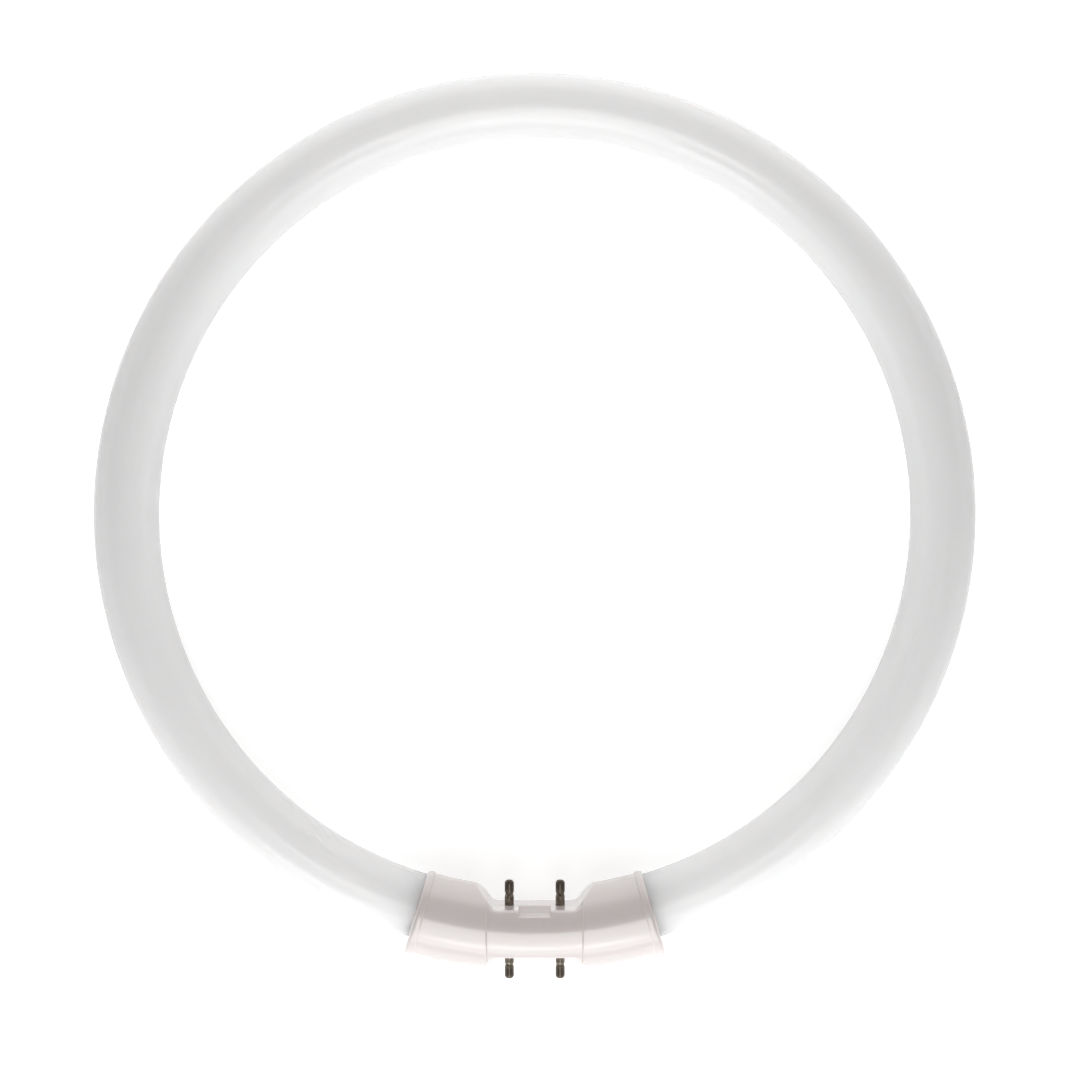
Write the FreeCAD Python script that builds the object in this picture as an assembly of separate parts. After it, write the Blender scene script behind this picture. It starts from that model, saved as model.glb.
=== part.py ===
"""Ring-shaped fluorescent tube, 225 mm across, with a four-pin cap that joins its two ends.

The glass ring lies flat in the XY plane, round the Z axis, with the middle of its tube at Z = 0.
The cap sits on the -Y side. It is two moulded half shells that meet at Z = 0 and close over
the tube's ends, the lead wires and the roots of the pins. Two pins point to the ring's centre
and two point away from it. All sizes are in millimetres.
"""
import FreeCAD, Part
import math
import os
from FreeCAD import Vector

# Glass ring
RING_RADIUS = 104.4
TUBE_DIAMETER = 16.5
TUBE_END_GAP = 28.0
END_SHOULDER = 5.0
TIP_DIAMETER = 3.0
TIP_LENGTH = 3.2

# Cap, a curved sleeve that follows the ring a little outside the tube's middle
CAP_OFFSET = 1.7
CAP_LENGTH = 61.5
CAP_WALL = 1.2
CAP_SEAT_WALL = 0.7
CAP_END_WALL = 1.8
RIM_LENGTH = 2.2
RIM_HEIGHT = 0.35
RIM_ROUNDING = 0.3
MOUTH_ROUNDING = 1.0
TUBE_CLEARANCE = 0.05

# Pin block, the waisted middle of the cap
BLOCK_LENGTH = 24.0
BLOCK_STEP = 0.6
STEP_ROUNDING = 0.4
BLOCK_THICKNESS = 12.2
FLAT_LENGTH = 20.7
WAIST_SLOPE = 52.0
WAIST_FILLET = 1.5
WAIST_EDGE_ROUNDING = 1.2

# Notch in the front of the block between the inner pins, for the latch of a lampholder
NOTCH_WIDTH = 8.2
NOTCH_DEPTH = 1.7
NOTCH_RISE = 1.7
NOTCH_WALL = 1.0
NOTCH_CORNER = 0.4

# Lap joint between the half shells
LAP_HEIGHT = 0.7
LAP_LIP = 0.4
LAP_CLEARANCE = 0.05
PARTING_GAP = 0.12

# Brass pins
PIN_SPACING = 13.0
PIN_DIAMETER = 2.35
PIN_LENGTH = 6.5
PIN_CRIMP_DEPTH = 0.16
PIN_CRIMP_LENGTH = 1.1
PIN_CRIMP_FROM_TIP = 3.0
PIN_TIP_ROUNDING = 0.9
PIN_FLANGE_DIAMETER = 3.8
PIN_FLANGE_THICKNESS = 0.8
PIN_TAIL_DIAMETER = 1.8
PIN_TAIL_LENGTH = 2.0
PIN_CLEARANCE = 0.04
RIB_THICKNESS = 1.0
RIB_BORDER = 0.3

# Lead wires from the glass to the pins
WIRE_DIAMETER = 0.6
WIRE_SPREAD = 5.2
WIRE_CLEARANCE = 0.03
WIRE_FROM_GLASS = 1.5
WIRE_IN_TAIL = 1.4
WIRE_BEFORE_TAIL = 1.4
WIRE_BEND = 0.7

# Bonding compound between each tube end and the outer side of the cap, held in by a rib
BOND_LENGTH = 8.0
BOND_FROM_TUBE_MIDDLE = 2.0
BOND_CLEARANCE = 0.03

# Sizes that follow from the ones above
ORIGIN = Vector(0, 0, 0)
UP = Vector(0, 0, 1)
tube_radius = TUBE_DIAMETER / 2
cap_radius = tube_radius + TUBE_CLEARANCE + CAP_SEAT_WALL + CAP_OFFSET
cap_ring_radius = RING_RADIUS + CAP_OFFSET
block_radius = cap_radius - BLOCK_STEP
pin_radius = PIN_DIAMETER / 2
wire_radius = WIRE_DIAMETER / 2
tube_end_angle = math.degrees((TUBE_END_GAP / 2 + END_SHOULDER) / RING_RADIUS)
beyond_cap = 2 * cap_radius
pin_places = [(x, side) for x in (-PIN_SPACING / 2, PIN_SPACING / 2) for side in (1, -1)]


def box_between(low, high):
    """Box given by two opposite corners."""
    size = high - low
    return Part.makeBox(size.x, size.y, size.z, low)


def ring_piece(radius, ring_radius, start, sweep):
    """Round bar bent round the Z axis. Angles are in degrees, counted from -Y towards +X."""
    circle = Part.makeCircle(radius, Vector(0, -ring_radius, 0), Vector(1, 0, 0))
    section = Part.Face(Part.Wire(circle))
    section.rotate(ORIGIN, UP, start)
    return section.revolve(ORIGIN, UP, sweep)


def half_angle(length, ring_radius):
    """Angle in degrees that half of an arc length takes on a ring."""
    return math.degrees(length / 2 / ring_radius)


def glass_end(grow):
    """Sealed end of the tube on the +X side, with its shoulder and exhaust tip."""
    radius = tube_radius + grow
    flat_radius = tube_radius - END_SHOULDER
    length = END_SHOULDER + grow
    bend = Vector(flat_radius + length * math.sin(math.pi / 4), length * math.cos(math.pi / 4), 0)
    wall_start = Vector(radius, 0, 0)
    flat_start = Vector(flat_radius, length, 0)
    axis_end = Vector(0, length, 0)
    outline = Part.Wire([
        Part.makeLine(ORIGIN, wall_start),
        Part.Arc(wall_start, bend, flat_start).toShape(),
        Part.makeLine(flat_start, axis_end),
        Part.makeLine(axis_end, ORIGIN),
    ])
    dome = Part.Face(outline).revolve(ORIGIN, Vector(0, 1, 0), 360)
    tip_radius = TIP_DIAMETER / 2 + grow
    tip_length = length + TIP_LENGTH - tip_radius
    along = Vector(0, 1, 0)
    tip = Part.makeCylinder(tip_radius, tip_length, ORIGIN, along)
    tip = tip.fuse(Part.makeSphere(tip_radius, along * tip_length))
    end = dome.fuse(tip).removeSplitter()
    end.rotate(ORIGIN, UP, 90)
    end.translate(Vector(0, -RING_RADIUS, 0))
    end.rotate(ORIGIN, UP, tube_end_angle)
    return end


def mirrored(shape):
    """Copy of a shape on the other side of the plane X = 0."""
    return shape.mirror(ORIGIN, Vector(1, 0, 0))


def glass_form(grow):
    """Whole sealed glass ring, grown by a clearance where it is used as a cutter."""
    bend = ring_piece(tube_radius + grow, RING_RADIUS, tube_end_angle, 360 - 2 * tube_end_angle)
    end = glass_end(grow)
    return bend.fuse([end, mirrored(end)]).removeSplitter()


def waist_cutter(side, inset):
    """Prism that cuts one flat of the block. Side is 1 for the inner flat and -1 for the outer."""
    slope = math.radians(WAIST_SLOPE)
    flat_y = side * (BLOCK_THICKNESS / 2 - inset) - cap_ring_radius
    half_flat = FLAT_LENGTH / 2 + inset * math.tan(slope / 2)
    half_mouth = half_flat + beyond_cap / math.tan(slope)
    mouth_y = flat_y + side * beyond_cap
    corners = [
        Vector(-half_flat, flat_y, -beyond_cap),
        Vector(half_flat, flat_y, -beyond_cap),
        Vector(half_mouth, mouth_y, -beyond_cap),
        Vector(-half_mouth, mouth_y, -beyond_cap),
    ]
    face = Part.Face(Part.makePolygon(corners + corners[:1]))
    prism = face.extrude(UP * 2 * beyond_cap)
    corner_edges = []
    for edge in prism.Edges:
        upright = abs(edge.tangentAt(edge.FirstParameter).z) > 0.5
        if upright and abs(edge.CenterOfMass.y - flat_y) < beyond_cap / 2:
            corner_edges.append(edge)
    return prism.makeFillet(WAIST_FILLET + inset, corner_edges)


def waisted_bar(radius, reach, inset, rounding):
    """Bent round bar with the two flats of the block cut into it."""
    bar = ring_piece(radius, cap_ring_radius, -reach, 2 * reach)
    for side in (1, -1):
        bar = bar.cut(waist_cutter(side, inset))
    if rounding == 0:
        return bar
    rims = [edge for edge in bar.Edges if edge.Curve.TypeId == "Part::GeomBSplineCurve"]
    return bar.makeFillet(rounding, rims)


def step_rounded(sleeves):
    """The two sleeves with the edges of the steps down to the block rounded."""
    edges = []
    for edge in sleeves.Edges:
        box = edge.BoundBox
        if box.XLength < STEP_ROUNDING and abs(abs(box.XMin) - BLOCK_LENGTH / 2) < STEP_ROUNDING:
            edges.append(edge)
    return sleeves.makeFillet(STEP_ROUNDING, edges)


def cap_form(inset, end_inset, rounding=0):
    """Outer form of the cap, or the same form shrunk by a wall thickness."""
    reach = half_angle(CAP_LENGTH - 2 * end_inset, cap_ring_radius)
    block_reach = half_angle(BLOCK_LENGTH + 2 * beyond_cap, cap_ring_radius)
    half_length = BLOCK_LENGTH / 2 + inset
    low = Vector(-half_length, -cap_ring_radius - beyond_cap, -beyond_cap)
    high = Vector(half_length, -cap_ring_radius + beyond_cap, beyond_cap)
    middle = box_between(low, high)
    sleeves = waisted_bar(cap_radius - inset, reach, inset, rounding).cut(middle)
    if rounding > 0:
        sleeves = step_rounded(sleeves)
    block = waisted_bar(block_radius - inset, min(reach, block_reach), inset, rounding).common(middle)
    return sleeves.fuse(block).removeSplitter()


def end_rim():
    """Rounded bead round the mouth of the cap on the +X side."""
    reach = half_angle(CAP_LENGTH, cap_ring_radius)
    sweep = 2 * half_angle(RIM_LENGTH, cap_ring_radius)
    bead = ring_piece(cap_radius + RIM_HEIGHT, cap_ring_radius, reach - sweep, sweep)
    rounds = [edge for edge in bead.Edges if edge.Length > math.pi * cap_radius]
    rounds.sort(key=lambda edge: edge.CenterOfMass.x)
    bead = bead.makeFillet(RIM_ROUNDING, rounds[:1])
    mouth = [edge for edge in bead.Edges if edge.Length > math.pi * cap_radius]
    mouth.sort(key=lambda edge: edge.CenterOfMass.x)
    return bead.makeFillet(MOUTH_ROUNDING, mouth[-1:])


def slab(low_z, high_z):
    """Layer between two heights that is wider than the cap."""
    reach = CAP_LENGTH
    low = Vector(-reach, -cap_ring_radius - beyond_cap, low_z)
    high = Vector(reach, -cap_ring_radius + beyond_cap, high_z)
    return box_between(low, high)


def flat_y(side):
    """Y of the block's inner flat for side 1 and of its outer flat for side -1."""
    return side * BLOCK_THICKNESS / 2 - cap_ring_radius


def flange_start():
    """Depth of the pin's flange below the flat, just clear of the wall."""
    return CAP_WALL + PIN_CLEARANCE


def tail_depth():
    """Depth of the pin's inner end below the flat."""
    return flange_start() + PIN_FLANGE_THICKNESS + PIN_TAIL_LENGTH


def placed_on_pin(shape, x, side):
    """Moves a shape drawn along +Y from the flat at Y = 0 to the pin at X = x on one side."""
    moved = shape.copy()
    if side < 0:
        moved.rotate(ORIGIN, UP, 180)
    moved.translate(Vector(x, flat_y(side), 0))
    return moved


def pin_form(grow):
    """Pin along +Y with the flat at Y = 0, grown by a clearance where it is used as a cutter."""
    outer = pin_radius + grow
    flange = PIN_FLANGE_DIAMETER / 2 + grow
    tail = PIN_TAIL_DIAMETER / 2 + grow
    tip = PIN_LENGTH + grow
    rounding = PIN_TIP_ROUNDING
    crimp_end = PIN_LENGTH - PIN_CRIMP_FROM_TIP
    crimp_start = crimp_end - PIN_CRIMP_LENGTH
    crimp_middle = (crimp_start + crimp_end) / 2
    round_x = outer - rounding * (1 - math.sin(math.pi / 4))
    round_y = tip - rounding * (1 - math.sin(math.pi / 4))
    flange_top = -flange_start() + grow
    flange_bottom = -flange_start() - PIN_FLANGE_THICKNESS - grow
    tail_end = -tail_depth() - grow
    crimp_from = Vector(outer, crimp_start, 0)
    crimp_to = Vector(outer, crimp_end, 0)
    crimp_waist = Vector(outer - PIN_CRIMP_DEPTH, crimp_middle, 0)
    round_from = Vector(outer, tip - rounding, 0)
    round_to = Vector(outer - rounding, tip, 0)
    lower = [
        Vector(0, tail_end, 0),
        Vector(tail, tail_end, 0),
        Vector(tail, flange_bottom, 0),
        Vector(flange, flange_bottom, 0),
        Vector(flange, flange_top, 0),
        Vector(outer, flange_top, 0),
        crimp_from,
    ]
    edges = [Part.makeLine(a, b) for a, b in zip(lower, lower[1:])]
    edges.append(Part.Arc(crimp_from, crimp_waist, crimp_to).toShape())
    edges.append(Part.makeLine(crimp_to, round_from))
    edges.append(Part.Arc(round_from, Vector(round_x, round_y, 0), round_to).toShape())
    edges.append(Part.makeLine(round_to, Vector(0, tip, 0)))
    edges.append(Part.makeLine(Vector(0, tip, 0), lower[0]))
    return Part.Face(Part.Wire(edges)).revolve(ORIGIN, Vector(0, 1, 0), 360)


def pin():
    """Brass pin along +Y, with the blind hole in its tail that holds the lead wire."""
    hole_start = Vector(0, -tail_depth(), 0)
    hole = Part.makeCylinder(
        wire_radius + WIRE_CLEARANCE,
        WIRE_IN_TAIL + WIRE_CLEARANCE,
        hole_start,
        Vector(0, 1, 0),
    )
    return pin_form(0).cut(hole)


def pin_rib():
    """Rib behind a pin's flange, drawn for the flat at Y = 0."""
    half_width = PIN_FLANGE_DIAMETER / 2 + RIB_BORDER
    rib_y = -flange_start() - PIN_FLANGE_THICKNESS - PIN_CLEARANCE
    low = Vector(-half_width, rib_y - RIB_THICKNESS, -cap_radius)
    return box_between(low, Vector(half_width, rib_y, cap_radius))


def notch_block():
    """Plastic round the notch, from the parting plane to the front of the cap."""
    low = Vector(-NOTCH_WIDTH / 2 - NOTCH_WALL, flat_y(1) - NOTCH_DEPTH - NOTCH_WALL, PARTING_GAP)
    return box_between(low, Vector(NOTCH_WIDTH / 2 + NOTCH_WALL, flat_y(1) + NOTCH_DEPTH, beyond_cap))


def notch():
    """Notch for the lampholder's latch. Its floor is a ramp, and its inner corners are rounded."""
    floor_z = PARTING_GAP + NOTCH_WALL
    back_y = flat_y(1) - NOTCH_DEPTH
    front_y = flat_y(1) + NOTCH_DEPTH
    outline = [(back_y, floor_z + NOTCH_RISE), (flat_y(1), floor_z), (front_y, floor_z)]
    outline += [(front_y, beyond_cap), (back_y, beyond_cap)]
    side = [Vector(-NOTCH_WIDTH / 2, y, z) for y, z in outline]
    space = Part.Face(Part.makePolygon(side + side[:1])).extrude(Vector(NOTCH_WIDTH, 0, 0))
    corners = []
    for edge in space.Edges:
        middle = edge.CenterOfMass
        if middle.y < back_y + NOTCH_CORNER and middle.z < beyond_cap - NOTCH_CORNER:
            corners.append(edge)
    return space.makeFillet(NOTCH_CORNER, corners)


def cap_slice(from_mouth, length):
    """Stretch of the cap that starts some way in from its +X mouth, wider than the cap."""
    reach = half_angle(CAP_LENGTH - 2 * from_mouth, cap_ring_radius)
    sweep = 2 * half_angle(length, cap_ring_radius)
    return ring_piece(beyond_cap, cap_ring_radius, reach - sweep, sweep)


def inner_ribs(cavity):
    """Ribs inside the cap: round each tube end, and behind each pin's flange."""
    from_mouth = CAP_END_WALL + BOND_LENGTH + 2 * BOND_CLEARANCE
    tube_rib = cap_slice(from_mouth, RIB_THICKNESS)
    ribs = [tube_rib, mirrored(tube_rib)]
    ribs += [placed_on_pin(pin_rib(), x, side) for x, side in pin_places]
    return [rib.common(cavity) for rib in ribs]


def cap_shells():
    """Front and back half shells of the cap, joined by a lap all round."""
    rim = end_rim()
    outer = cap_form(0, 0, WAIST_EDGE_ROUNDING).fuse([rim, mirrored(rim)]).removeSplitter()
    cavity = cap_form(CAP_WALL, CAP_END_WALL)
    wall = outer.cut(cavity)
    tongue_inset = LAP_LIP + LAP_CLEARANCE
    tongue = cap_form(tongue_inset, tongue_inset).common(slab(-LAP_HEIGHT, PARTING_GAP)).cut(cavity)
    rebate_floor = -LAP_HEIGHT - LAP_CLEARANCE
    rebate = cap_form(LAP_LIP, LAP_LIP).common(slab(rebate_floor, 0)).cut(cavity)
    ribs = inner_ribs(cavity)
    above = slab(0, beyond_cap)
    below = slab(-beyond_cap, 0)
    pocket = notch_block().common(outer)
    front = wall.common(slab(PARTING_GAP, beyond_cap)).fuse([tongue, pocket]).cut(notch())
    back = wall.common(below).cut(rebate)
    cutters = [placed_on_pin(pin_form(PIN_CLEARANCE), x, side) for x, side in pin_places]
    cutters.append(glass_form(TUBE_CLEARANCE))
    front = front.fuse([rib.common(above) for rib in ribs]).cut(cutters)
    back = back.fuse([rib.common(below) for rib in ribs]).cut(cutters)
    return front.removeSplitter(), back.removeSplitter()


def rounded_path(points, radius):
    """Wire of straight runs joined by tangent arcs of one radius."""
    edges = []
    start = points[0]
    for before, corner, after in zip(points, points[1:], points[2:]):
        back = (before - corner).normalize()
        ahead = (after - corner).normalize()
        half_turn = back.getAngle(ahead) / 2
        from_corner = radius / math.tan(half_turn)
        centre = corner + (back + ahead).normalize() * (radius / math.sin(half_turn))
        arc_start = corner + back * from_corner
        arc_end = corner + ahead * from_corner
        arc_middle = centre + (corner - centre).normalize() * radius
        edges.append(Part.makeLine(start, arc_start))
        edges.append(Part.Arc(arc_start, arc_middle, arc_end).toShape())
        start = arc_end
    edges.append(Part.makeLine(start, points[-1]))
    return Part.Wire(edges)


def glass_end_point(across, along):
    """Point by the +X end of the glass: across the tube to the ring's centre, along its axis."""
    point = Vector(-along, across - RING_RADIUS, 0)
    return FreeCAD.Rotation(UP, tube_end_angle).multVec(point)


def lead_wire(side):
    """Lead wire on the +X side, from the glass to the inner (1) or the outer (-1) pin."""
    across = side * WIRE_SPREAD / 2
    mouth = flat_y(side) - side * tail_depth()
    turn = Vector(PIN_SPACING / 2, mouth - side * WIRE_BEFORE_TAIL, 0)
    points = [
        glass_end_point(across, END_SHOULDER),
        glass_end_point(across, END_SHOULDER + WIRE_FROM_GLASS),
        turn,
        Vector(turn.x, mouth + side * WIRE_IN_TAIL, 0),
    ]
    path = rounded_path(points, WIRE_BEND)
    section = Part.Wire(Part.makeCircle(wire_radius, points[0], points[1] - points[0]))
    return path.makePipeShell([section], True, True)


def bond():
    """Bonding compound between the +X tube end and the outer side of the cap."""
    radius = cap_radius - CAP_WALL - BOND_CLEARANCE
    reach = half_angle(CAP_LENGTH, cap_ring_radius)
    filling = ring_piece(radius, cap_ring_radius, 0, reach)
    filling = filling.common(cap_slice(CAP_END_WALL + BOND_CLEARANCE, BOND_LENGTH))
    inner_radius = RING_RADIUS + BOND_FROM_TUBE_MIDDLE
    inner_side = Part.makeCylinder(inner_radius, 2 * beyond_cap, Vector(0, 0, -beyond_cap))
    return filling.cut([inner_side, ring_piece(tube_radius + BOND_CLEARANCE, RING_RADIUS, 0, 2 * reach)])


def main():
    os.makedirs("parts", exist_ok=True)
    front, back = cap_shells()
    filling = bond()
    nodes = {
        "discharge_tube": glass_form(0),
        "cap_front_shell": front,
        "cap_back_shell": back,
        "bond_right": filling,
        "bond_left": mirrored(filling),
    }
    metal_pin = pin()
    for name, side in (("inner", 1), ("outer", -1)):
        wire = lead_wire(side)
        nodes[name + "_wire_right"] = wire
        nodes[name + "_wire_left"] = mirrored(wire)
        nodes[name + "_pin_right"] = placed_on_pin(metal_pin, PIN_SPACING / 2, side)
        nodes[name + "_pin_left"] = placed_on_pin(metal_pin, -PIN_SPACING / 2, side)
    for name, shape in nodes.items():
        solid = shape.Solids[0]
        solid.exportStep("parts/" + name + ".step")
        print(name, "solids", len(shape.Solids), "valid", shape.isValid(), "volume", round(shape.Volume, 1))


main()
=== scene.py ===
"""Looks, floor, light and camera of a ring-shaped fluorescent tube.

Lengths are in metres. The sizes of the materials' patterns are in millimetres, as ring space is.
"""
import bpy
import math
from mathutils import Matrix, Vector


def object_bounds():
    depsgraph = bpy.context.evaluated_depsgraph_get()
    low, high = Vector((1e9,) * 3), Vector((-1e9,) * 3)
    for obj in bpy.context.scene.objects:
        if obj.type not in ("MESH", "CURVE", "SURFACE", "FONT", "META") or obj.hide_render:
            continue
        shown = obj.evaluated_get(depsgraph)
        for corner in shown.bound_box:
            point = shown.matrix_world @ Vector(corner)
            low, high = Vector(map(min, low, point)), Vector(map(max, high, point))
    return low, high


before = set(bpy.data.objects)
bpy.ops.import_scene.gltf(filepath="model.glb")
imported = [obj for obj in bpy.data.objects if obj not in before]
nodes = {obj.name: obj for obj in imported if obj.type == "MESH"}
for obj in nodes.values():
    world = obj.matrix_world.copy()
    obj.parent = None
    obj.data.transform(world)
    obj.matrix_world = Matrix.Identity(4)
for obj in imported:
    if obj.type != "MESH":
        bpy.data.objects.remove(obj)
cad_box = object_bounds()


# ---------------------------------------------------------------------------------------------
# Glass ring. A drawn glass tube bent round a drum and sealed at both ends. Its inside is washed
# with white phosphor powder, so a soft gloss lies over a matt, faintly uneven white.
# ---------------------------------------------------------------------------------------------
GLASS_RING_RADIUS = 0.1044
FAR_SIDE = 1.0
DRAWN_STRETCH = 28.0
POWDER_WHITE = (0.970, 0.960, 0.955, 1)
POWDER_THIN = (0.935, 0.924, 0.919, 1)
POWDER_SCATTER = 0.018
POWDER_SCATTER_TINT = (1.0, 0.95, 0.92)
DUST_DULLNESS = 0.3
GLASS_IOR = 1.5


def add(tree, kind, inputs=None, **settings):
    """Adds a shader node. An input is given a constant or linked from another node's socket."""
    made = tree.nodes.new("ShaderNode" + kind)
    for name, value in settings.items():
        setattr(made, name, value)
    for name, value in (inputs or {}).items():
        if isinstance(value, bpy.types.NodeSocket):
            tree.links.new(value, made.inputs[name])
        else:
            made.inputs[name].default_value = value
    return made


def maths(tree, operation, a, b=0.0):
    """Adds one Math node and returns its result."""
    return add(tree, "Math", {0: a, 1: b}, operation=operation).outputs[0]


def effect_group(name, inputs, outputs):
    """Starts a shader node group. Sockets are given as (name, kind, default value)."""
    group = bpy.data.node_groups.new(name, "ShaderNodeTree")
    for socket_name, kind, default in inputs:
        socket = group.interface.new_socket(
            socket_name, in_out="INPUT", socket_type="NodeSocket" + kind,
        )
        if default is not None:
            socket.default_value = default
    for socket_name, kind in outputs:
        group.interface.new_socket(socket_name, in_out="OUTPUT", socket_type="NodeSocket" + kind)
    given = group.nodes.new("NodeGroupInput").outputs
    result = group.nodes.new("NodeGroupOutput").inputs
    return group, given, result


def place(tree, group, **inputs):
    """Puts an effect group in a material. Underscores in the names stand for spaces."""
    made = add(tree, "Group", node_tree=group)
    for name, value in inputs.items():
        socket = made.inputs[name.replace("_", " ")]
        if isinstance(value, bpy.types.NodeSocket):
            tree.links.new(value, socket)
        else:
            socket.default_value = value
    return made.outputs


# Ring space: millimetres along the ring, outwards from the tube's middle, and up. The scale along
# the ring starts on the side that Start Side names, 1 for +Y and -1 for -Y, and has its jump from
# end to end opposite: inside the cap for the glass. Stretch draws a pattern out along the ring.
ring_space, given, result = effect_group(
    "Ring space",
    [("Ring Radius", "Float", 0.1), ("Start Side", "Float", 1.0), ("Stretch", "Float", 1.0)],
    [("Vector", "Vector")],
)
point = add(ring_space, "SeparateXYZ", {0: add(ring_space, "TexCoord").outputs["Object"]}).outputs
start_y = maths(ring_space, "MULTIPLY", point["Y"], given["Start Side"])
turn = maths(ring_space, "ARCTAN2", point["X"], start_y)
radius_mm = maths(ring_space, "MULTIPLY", given["Ring Radius"], 1000.0)
along = maths(ring_space, "MULTIPLY", turn, radius_mm)
along = maths(ring_space, "DIVIDE", along, given["Stretch"])
from_axis = maths(ring_space, "SQRT", maths(
    ring_space, "ADD",
    maths(ring_space, "MULTIPLY", point["X"], point["X"]),
    maths(ring_space, "MULTIPLY", point["Y"], point["Y"]),
))
from_axis_mm = maths(ring_space, "MULTIPLY", from_axis, 1000.0)
outwards = maths(ring_space, "SUBTRACT", from_axis_mm, radius_mm)
upwards = maths(ring_space, "MULTIPLY", point["Z"], 1000.0)
joined = add(ring_space, "CombineXYZ", {"X": along, "Y": outwards, "Z": upwards})
ring_space.links.new(joined.outputs[0], result["Vector"])

# Mottle: soft uneven patches of a given size, as a value between Low and High.
mottle, given, result = effect_group(
    "Mottle",
    [("Vector", "Vector", None), ("Patch Size", "Float", 5.0), ("Fine Detail", "Float", 2.0),
     ("Low", "Float", 0.0), ("High", "Float", 1.0)],
    [("Value", "Float")],
)
noise = add(mottle, "TexNoise", {
    "Vector": given["Vector"],
    "Scale": maths(mottle, "DIVIDE", 1.0, given["Patch Size"]),
    "Detail": given["Fine Detail"],
    "Roughness": 0.55,
}, noise_dimensions="3D", normalize=True)
spread = add(mottle, "MapRange", {
    "Value": noise.outputs["Fac"],
    "From Min": 0.3, "From Max": 0.7, "To Min": given["Low"], "To Max": given["High"],
}, interpolation_type="SMOOTHSTEP")
mottle.links.new(spread.outputs[0], result["Value"])

# Specks: sparse small spots, such as dust on glass or pits in a moulding, as a mask.
specks, given, result = effect_group(
    "Specks",
    [("Vector", "Vector", None), ("Spacing", "Float", 3.0), ("Spot Size", "Float", 0.1),
     ("Share", "Float", 0.3)],
    [("Mask", "Float")],
)
cells = add(specks, "TexVoronoi", {
    "Vector": given["Vector"], "Scale": maths(specks, "DIVIDE", 1.0, given["Spacing"]),
    "Randomness": 1.0,
}, feature="F1")
cell_value = add(specks, "SeparateColor", {0: cells.outputs["Color"]}).outputs["Red"]
kept = maths(specks, "LESS_THAN", cell_value, given["Share"])
spot = maths(specks, "DIVIDE", given["Spot Size"], given["Spacing"])
edge = add(specks, "MapRange", {
    "Value": cells.outputs["Distance"],
    "From Min": maths(specks, "MULTIPLY", spot, 0.4), "From Max": spot,
    "To Min": 1.0, "To Max": 0.0,
}, interpolation_type="SMOOTHSTEP")
specks.links.new(maths(specks, "MULTIPLY", kept, edge.outputs[0]), result["Mask"])


def new_material(name):
    """Material with an empty node tree, its tree and the socket that takes the shader."""
    material = bpy.data.materials.new(name)
    material.use_nodes = True
    material.node_tree.nodes.clear()
    output = material.node_tree.nodes.new("ShaderNodeOutputMaterial")
    return material, material.node_tree, output.inputs["Surface"]


def along_ring(tree, ring_radius, start_side, stretch=1.0):
    """Ring space for one material."""
    return place(
        tree, ring_space, Ring_Radius=ring_radius, Start_Side=start_side, Stretch=stretch,
    )["Vector"]


def mixed(tree, mask, colour_a, colour_b):
    """Colour that goes from one to the other with a mask."""
    mix = add(tree, "Mix", {"Factor": mask}, data_type="RGBA")
    for socket, colour in ((mix.inputs[6], colour_a), (mix.inputs[7], colour_b)):
        if isinstance(colour, bpy.types.NodeSocket):
            tree.links.new(colour, socket)
        else:
            socket.default_value = colour
    return mix.outputs[2]


def finish_node(name, material):
    """Gives a CAD node its finish, in every one of its material slots."""
    for slot in nodes[name].material_slots:
        slot.material = material


coated_glass, tree, surface = new_material("Coated glass")
near = along_ring(tree, GLASS_RING_RADIUS, FAR_SIDE)
drawn = along_ring(tree, GLASS_RING_RADIUS, FAR_SIDE, stretch=DRAWN_STRETCH)
cloud = place(
    tree, mottle, Vector=near, Patch_Size=22.0, Fine_Detail=1.5, Low=0.0, High=0.6,
)["Value"]
grain = place(
    tree, mottle, Vector=near, Patch_Size=0.45, Fine_Detail=2.0, Low=0.0, High=0.25,
)["Value"]
wash_lines = place(
    tree, mottle, Vector=drawn, Patch_Size=1.6, Fine_Detail=2.0, Low=0.0, High=0.35,
)["Value"]
thinness = maths(tree, "ADD", maths(tree, "ADD", cloud, grain), wash_lines)
dust = place(tree, specks, Vector=near, Spacing=5.0, Spot_Size=0.16, Share=0.35)["Mask"]
powder = mixed(tree, thinness, POWDER_WHITE, POWDER_THIN)
handled = place(
    tree, mottle, Vector=near, Patch_Size=11.0, Fine_Detail=2.0, Low=0.16, High=0.23,
)["Value"]
gloss = maths(tree, "ADD", handled, maths(tree, "MULTIPLY", dust, DUST_DULLNESS))
draw_waves = place(
    tree, mottle, Vector=drawn, Patch_Size=4.0, Fine_Detail=1.0, Low=0.0, High=1.0,
)["Value"]
wavy = add(tree, "Bump", {"Strength": 0.35, "Distance": 0.00004, "Height": draw_waves})
glass = add(tree, "BsdfPrincipled", {
    "Base Color": powder, "Roughness": gloss, "IOR": GLASS_IOR, "Normal": wavy.outputs[0],
    "Subsurface Weight": 1.0, "Subsurface Scale": POWDER_SCATTER,
})
glass.inputs["Subsurface Radius"].default_value = POWDER_SCATTER_TINT
tree.links.new(glass.outputs[0], surface)
finish_node("discharge_tube", coated_glass)


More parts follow.
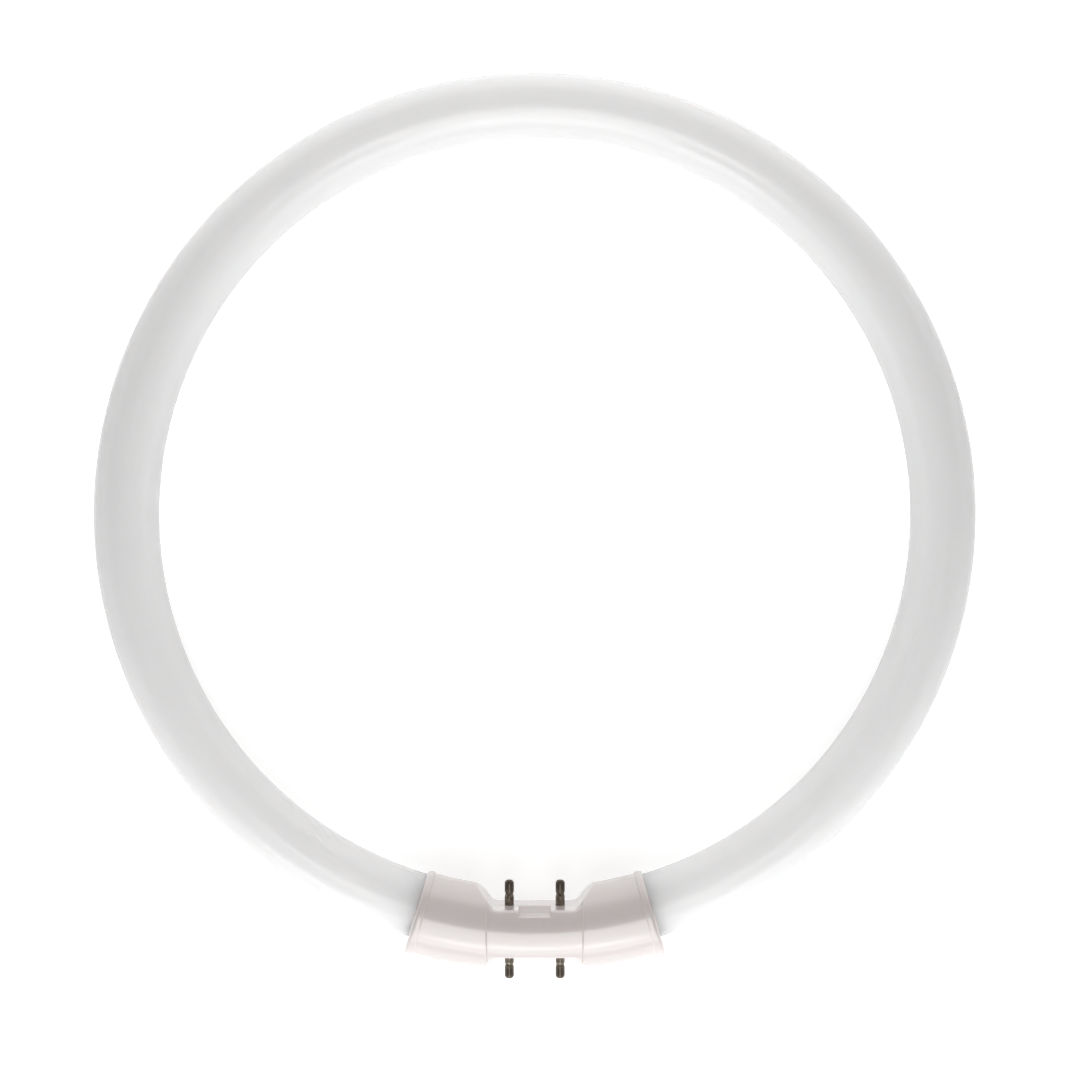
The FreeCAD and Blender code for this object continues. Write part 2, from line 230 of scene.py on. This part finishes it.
# ---------------------------------------------------------------------------------------------
# Cap. Two half shells moulded in pinkish off-white plastic, satin under a thin gloss skin, closed
# over the tube's ends and joined by a lap in the middle of the cap's height.
# ---------------------------------------------------------------------------------------------
CAP_RING_RADIUS = 0.1061
CAP_SIDE = -1.0
MELT_STRETCH = 4.0
CAP_PINKISH = (0.720, 0.660, 0.648, 1)
CAP_PALE = (0.738, 0.684, 0.673, 1)
# Grey that the plastic is mixed towards along the parting seam and in its pits: painted shade.
CAP_SHADE_GREY = (0.50, 0.45, 0.44, 1)
SEAM_HALF_HEIGHT = 0.22
SEAM_SHADE = 0.25
PIT_SHADE = 0.15
PLASTIC_IOR = 1.54
SKIN_IOR = 1.7
SKIN_ROUGHNESS = 0.18

moulded_plastic, tree, surface = new_material("Moulded cap plastic")
near = along_ring(tree, CAP_RING_RADIUS, CAP_SIDE)
melt = along_ring(tree, CAP_RING_RADIUS, CAP_SIDE, stretch=MELT_STRETCH)
flow = place(
    tree, mottle, Vector=melt, Patch_Size=7.0, Fine_Detail=0.5, Low=0.0, High=0.7,
)["Value"]
sparkle = place(
    tree, mottle, Vector=near, Patch_Size=0.5, Fine_Detail=1.0, Low=0.0, High=0.1,
)["Value"]
plastic = mixed(tree, maths(tree, "ADD", flow, sparkle), CAP_PINKISH, CAP_PALE)
# Painted shade along the parting seam: within SEAM_HALF_HEIGHT mm of the seam between the two
# shells, the plastic is darkened, as if shade fell in the crease.
height = add(tree, "SeparateXYZ", {0: near}).outputs["Z"]
painted_seam_shade = add(tree, "MapRange", {
    "Value": maths(tree, "ABSOLUTE", height), "From Min": 0.0, "From Max": SEAM_HALF_HEIGHT,
    "To Min": SEAM_SHADE, "To Max": 0.0,
}, interpolation_type="SMOOTHSTEP").outputs[0]
# Painted shade in pits: sparse small spots of the moulding are darkened, as if shade fell in them.
pits = place(tree, specks, Vector=near, Spacing=3.6, Spot_Size=0.12, Share=0.12)["Mask"]
# The painted shade of the seam and of the pits, whichever is darker, mixes the plastic towards the
# shade grey.
painted_seam_and_pit_shade = maths(tree, "MAXIMUM", painted_seam_shade, maths(tree, "MULTIPLY", pits, PIT_SHADE))
plastic = mixed(tree, painted_seam_and_pit_shade, plastic, CAP_SHADE_GREY)
satin = place(
    tree, mottle, Vector=near, Patch_Size=2.5, Fine_Detail=2.0, Low=0.29, High=0.36,
)["Value"]
eroded = place(
    tree, mottle, Vector=near, Patch_Size=0.35, Fine_Detail=2.0, Low=0.0, High=1.0,
)["Value"]
textured = add(tree, "Bump", {"Strength": 0.15, "Distance": 0.000010, "Height": eroded})
shell = add(tree, "BsdfPrincipled", {
    "Base Color": plastic, "Roughness": satin, "IOR": PLASTIC_IOR, "Normal": textured.outputs[0],
    "Subsurface Weight": 0.08, "Subsurface Scale": 0.0012,
    "Coat Weight": 1.0, "Coat Roughness": SKIN_ROUGHNESS, "Coat IOR": SKIN_IOR,
})
tree.links.new(shell.outputs[0], surface)
for name in ("cap_front_shell", "cap_back_shell"):
    finish_node(name, moulded_plastic)


# ---------------------------------------------------------------------------------------------
# Pins. Four turned brass pins, crimped on their lead wires half way along, dulled by handling and
# flux and darkest at their tips, where they meet the contacts. A flange holds each in the wall.
# ---------------------------------------------------------------------------------------------
BRASS_WORN = (0.318, 0.282, 0.226, 1)
BRASS_BROWN = (0.079, 0.066, 0.053, 1)
PIN_ROOT = 7.0
PIN_TIP = 11.0
TIP_BURN = 0.85
BLOT_DARKNESS = 0.9

aged_brass, tree, surface = new_material("Aged brass")
near = along_ring(tree, CAP_RING_RADIUS, CAP_SIDE)
tarnish = place(
    tree, mottle, Vector=near, Patch_Size=0.9, Fine_Detail=4.0, Low=0.1, High=0.8,
)["Value"]
blots = place(tree, specks, Vector=near, Spacing=0.8, Spot_Size=0.12, Share=0.4)["Mask"]
from_cap_middle = maths(tree, "ABSOLUTE", add(tree, "SeparateXYZ", {0: near}).outputs["Y"])
burnt_tip = add(tree, "MapRange", {
    "Value": from_cap_middle, "From Min": PIN_ROOT, "From Max": PIN_TIP,
    "To Min": 0.0, "To Max": TIP_BURN,
}, interpolation_type="SMOOTHSTEP").outputs[0]
brown = maths(tree, "MAXIMUM", tarnish, burnt_tip)
brown = maths(tree, "MAXIMUM", brown, maths(tree, "MULTIPLY", blots, BLOT_DARKNESS))
turned = add(tree, "TexWave", {
    "Vector": near, "Scale": 2.2, "Distortion": 0.6, "Detail": 2.0, "Detail Scale": 1.5,
}, wave_type="BANDS", bands_direction="Y")
brass_dull = place(
    tree, mottle, Vector=near, Patch_Size=0.5, Fine_Detail=3.0, Low=0.29, High=0.48,
)["Value"]
tool_marks = add(tree, "Bump", {
    "Strength": 0.3, "Distance": 0.000008, "Height": turned.outputs["Fac"],
})
metal = add(tree, "BsdfPrincipled", {
    "Base Color": mixed(tree, brown, BRASS_WORN, BRASS_BROWN), "Roughness": brass_dull,
    "Metallic": 1.0, "Normal": tool_marks.outputs[0],
})
tree.links.new(metal.outputs[0], surface)
for side in ("left", "right"):
    finish_node("inner_pin_" + side, aged_brass)
    finish_node("outer_pin_" + side, aged_brass)


# ---------------------------------------------------------------------------------------------
# Lead wires and bonding compound. Nickel-plated wires run from each sealed glass end to the
# pins, and white silicone fixes the ends of the glass in the cap. Both lie inside the cap.
# ---------------------------------------------------------------------------------------------
NICKEL = (0.56, 0.54, 0.50, 1)
NICKEL_DULL = (0.38, 0.37, 0.35, 1)
SILICONE_WHITE = (0.74, 0.73, 0.71, 1)
SILICONE_GREY = (0.62, 0.61, 0.59, 1)

nickel_wire, tree, surface = new_material("Nickel wire")
near = along_ring(tree, CAP_RING_RADIUS, CAP_SIDE)
dulled = place(
    tree, mottle, Vector=near, Patch_Size=0.7, Fine_Detail=3.0, Low=0.0, High=1.0,
)["Value"]
wire_gloss = place(
    tree, mottle, Vector=near, Patch_Size=0.4, Fine_Detail=2.0, Low=0.22, High=0.4,
)["Value"]
wire_shader = add(tree, "BsdfPrincipled", {
    "Base Color": mixed(tree, dulled, NICKEL, NICKEL_DULL), "Roughness": wire_gloss,
    "Metallic": 1.0,
})
tree.links.new(wire_shader.outputs[0], surface)

white_silicone, tree, surface = new_material("White silicone")
near = along_ring(tree, CAP_RING_RADIUS, CAP_SIDE)
uneven = place(
    tree, mottle, Vector=near, Patch_Size=1.8, Fine_Detail=3.0, Low=0.0, High=1.0,
)["Value"]
lumpy = add(tree, "Bump", {"Strength": 0.5, "Distance": 0.00005, "Height": uneven})
silicone = add(tree, "BsdfPrincipled", {
    "Base Color": mixed(tree, uneven, SILICONE_WHITE, SILICONE_GREY),
    "Roughness": place(tree, mottle, Vector=near, Patch_Size=1.0, Low=0.5, High=0.65)["Value"],
    "Normal": lumpy.outputs[0],
})
tree.links.new(silicone.outputs[0], surface)
for side in ("left", "right"):
    finish_node("inner_wire_" + side, nickel_wire)
    finish_node("outer_wire_" + side, nickel_wire)
    finish_node("bond_" + side, white_silicone)


# ---------------------------------------------------------------------------------------------
# Table and studio. A plain white table top under the lamp, which looks as white as paper and
# keeps a soft shadow. Three softboxes stand on the cap's side and two on the far side, in a white
# room that lights the lamp from its horizon and has a grey ceiling.
# ---------------------------------------------------------------------------------------------
TABLE_HALF = 3.0
TABLE_COLOUR = (0.80, 0.80, 0.80, 1)
TABLE_MATT = 0.9
TABLE_LIFT = 0.64
NEAR_LAMP = 0.30
FAR_FROM_LAMP = 1.20
WHITE = (1, 1, 1, 1)

# The room, as the light it gives and as it is seen. Heights are sines of the angle of elevation.
ROOM_HORIZON = (0.80, 0.79, 0.785, 1)
ROOM_TOP = (0.020, 0.020, 0.020, 1)
HORIZON_FULL = 0.22
HORIZON_END = 0.48
ROOM_CEILING = (0.15, 0.15, 0.15, 1)
CEILING_START = 0.35
CEILING_FULL = 0.60

table_top = cad_box[0][2]
table_mesh = bpy.data.meshes.new("Table")
table_mesh.from_pydata(
    [(x * TABLE_HALF, y * TABLE_HALF, table_top) for x, y in ((-1, -1), (1, -1), (1, 1), (-1, 1))],
    [], [(0, 1, 2, 3)],
)
table = bpy.data.objects.new("Table", table_mesh)
bpy.context.scene.collection.objects.link(table)


def seen_as_backdrop(tree):
    """Mask of the rays that show the backdrop: the camera's, a mirror's and clear glass's."""
    ray = add(tree, "LightPath").outputs
    seen = maths(tree, "MAXIMUM", ray["Is Camera Ray"], ray["Is Glossy Ray"])
    return maths(tree, "MAXIMUM", seen, ray["Is Transmission Ray"])


white_table, tree, surface = new_material("White table")
table_shader = add(tree, "BsdfPrincipled", {
    "Base Color": TABLE_COLOUR, "Roughness": TABLE_MATT, "Specular IOR Level": 0.0,
    "Emission Color": WHITE,
})
table_point = add(tree, "TexCoord").outputs["Object"]
from_lamp = add(tree, "VectorMath", {0: table_point}, operation="LENGTH").outputs["Value"]
lift = add(tree, "MapRange", {
    "Value": from_lamp, "From Min": NEAR_LAMP, "From Max": FAR_FROM_LAMP,
    "To Min": TABLE_LIFT, "To Max": 1.0,
}, interpolation_type="SMOOTHSTEP").outputs[0]
glow = maths(tree, "MULTIPLY", seen_as_backdrop(tree), lift)
tree.links.new(glow, table_shader.inputs["Emission Strength"])
tree.links.new(table_shader.outputs[0], surface)
table_mesh.materials.append(white_table)

room = bpy.data.worlds.new("Room")
bpy.context.scene.world = room
room.use_nodes = True
tree = room.node_tree
tree.nodes.clear()
direction = add(tree, "SeparateXYZ", {0: add(tree, "TexCoord").outputs["Generated"]}).outputs
rise = add(tree, "MapRange", {
    "Value": direction["Z"], "From Min": HORIZON_FULL, "From Max": HORIZON_END,
}, interpolation_type="SMOOTHSTEP").outputs[0]
room_light = mixed(tree, rise, ROOM_HORIZON, ROOM_TOP)
ceiling = add(tree, "MapRange", {
    "Value": direction["Z"], "From Min": CEILING_START, "From Max": CEILING_FULL,
}, interpolation_type="SMOOTHSTEP").outputs[0]
room_seen = mixed(tree, ceiling, WHITE, ROOM_CEILING)
room_colour = mixed(tree, seen_as_backdrop(tree), room_light, room_seen)
background = add(tree, "Background", {"Color": room_colour, "Strength": 1.0})
room_output = tree.nodes.new("ShaderNodeOutputWorld")
tree.links.new(background.outputs[0], room_output.inputs["Surface"])


def softbox(name, place_at, length, width, watts, colour, mirrored):
    """Rectangular studio light that faces the middle of the ring. Glossy surfaces may mirror it."""
    light = bpy.data.lights.new(name, "AREA")
    light.shape = "RECTANGLE"
    light.size = length
    light.size_y = width
    light.energy = watts
    light.color = colour
    lamp = bpy.data.objects.new(name, light)
    bpy.context.scene.collection.objects.link(lamp)
    lamp.location = place_at
    lamp.rotation_euler = Vector(place_at).to_track_quat("Z", "Y").to_euler()
    lamp.visible_camera = False
    lamp.visible_glossy = mirrored


softbox(
    "Cap side low light", place_at=(0.0, -0.80, 0.12), length=1.3, width=0.20,
    watts=2.12, colour=(0.985, 0.995, 1.0), mirrored=False,
)
softbox(
    "Cap side wall light", place_at=(0.0, -0.80, 0.45), length=1.3, width=0.40,
    watts=3.00, colour=(0.98, 0.992, 1.0), mirrored=True,
)
softbox(
    "Cap side key", place_at=(0.0, -0.447, 0.663), length=0.38, width=0.72,
    watts=2.45, colour=(1.0, 0.99, 0.98), mirrored=True,
)
softbox(
    "Far side low light", place_at=(0.0, 0.80, 0.12), length=1.3, width=0.20,
    watts=3.85, colour=(1.0, 0.995, 0.99), mirrored=False,
)
softbox(
    "Far side key", place_at=(0.0, 0.36, 0.36), length=0.6, width=0.30,
    watts=0.35, colour=(1.0, 0.99, 0.985), mirrored=False,
)


# ---------------------------------------------------------------------------------------------
# Camera. It looks straight down on the lamp, a little off the ring's centre, from 0.55 m above
# the middle of its tube. The frame's width is measured in that plane.
# ---------------------------------------------------------------------------------------------
CAMERA_AT = (0.00134, -0.00666, 0.55)
FRAME_WIDTH = 0.2762
SENSOR_WIDTH = 36.0

view = bpy.data.cameras.new("Camera")
view.sensor_width = SENSOR_WIDTH
view.angle = 2 * math.atan(FRAME_WIDTH / 2 / CAMERA_AT[2])
camera = bpy.data.objects.new("Camera", view)
bpy.context.scene.collection.objects.link(camera)
camera.location = CAMERA_AT
bpy.context.scene.camera = camera
bpy.context.scene.view_settings.view_transform = "Standard"
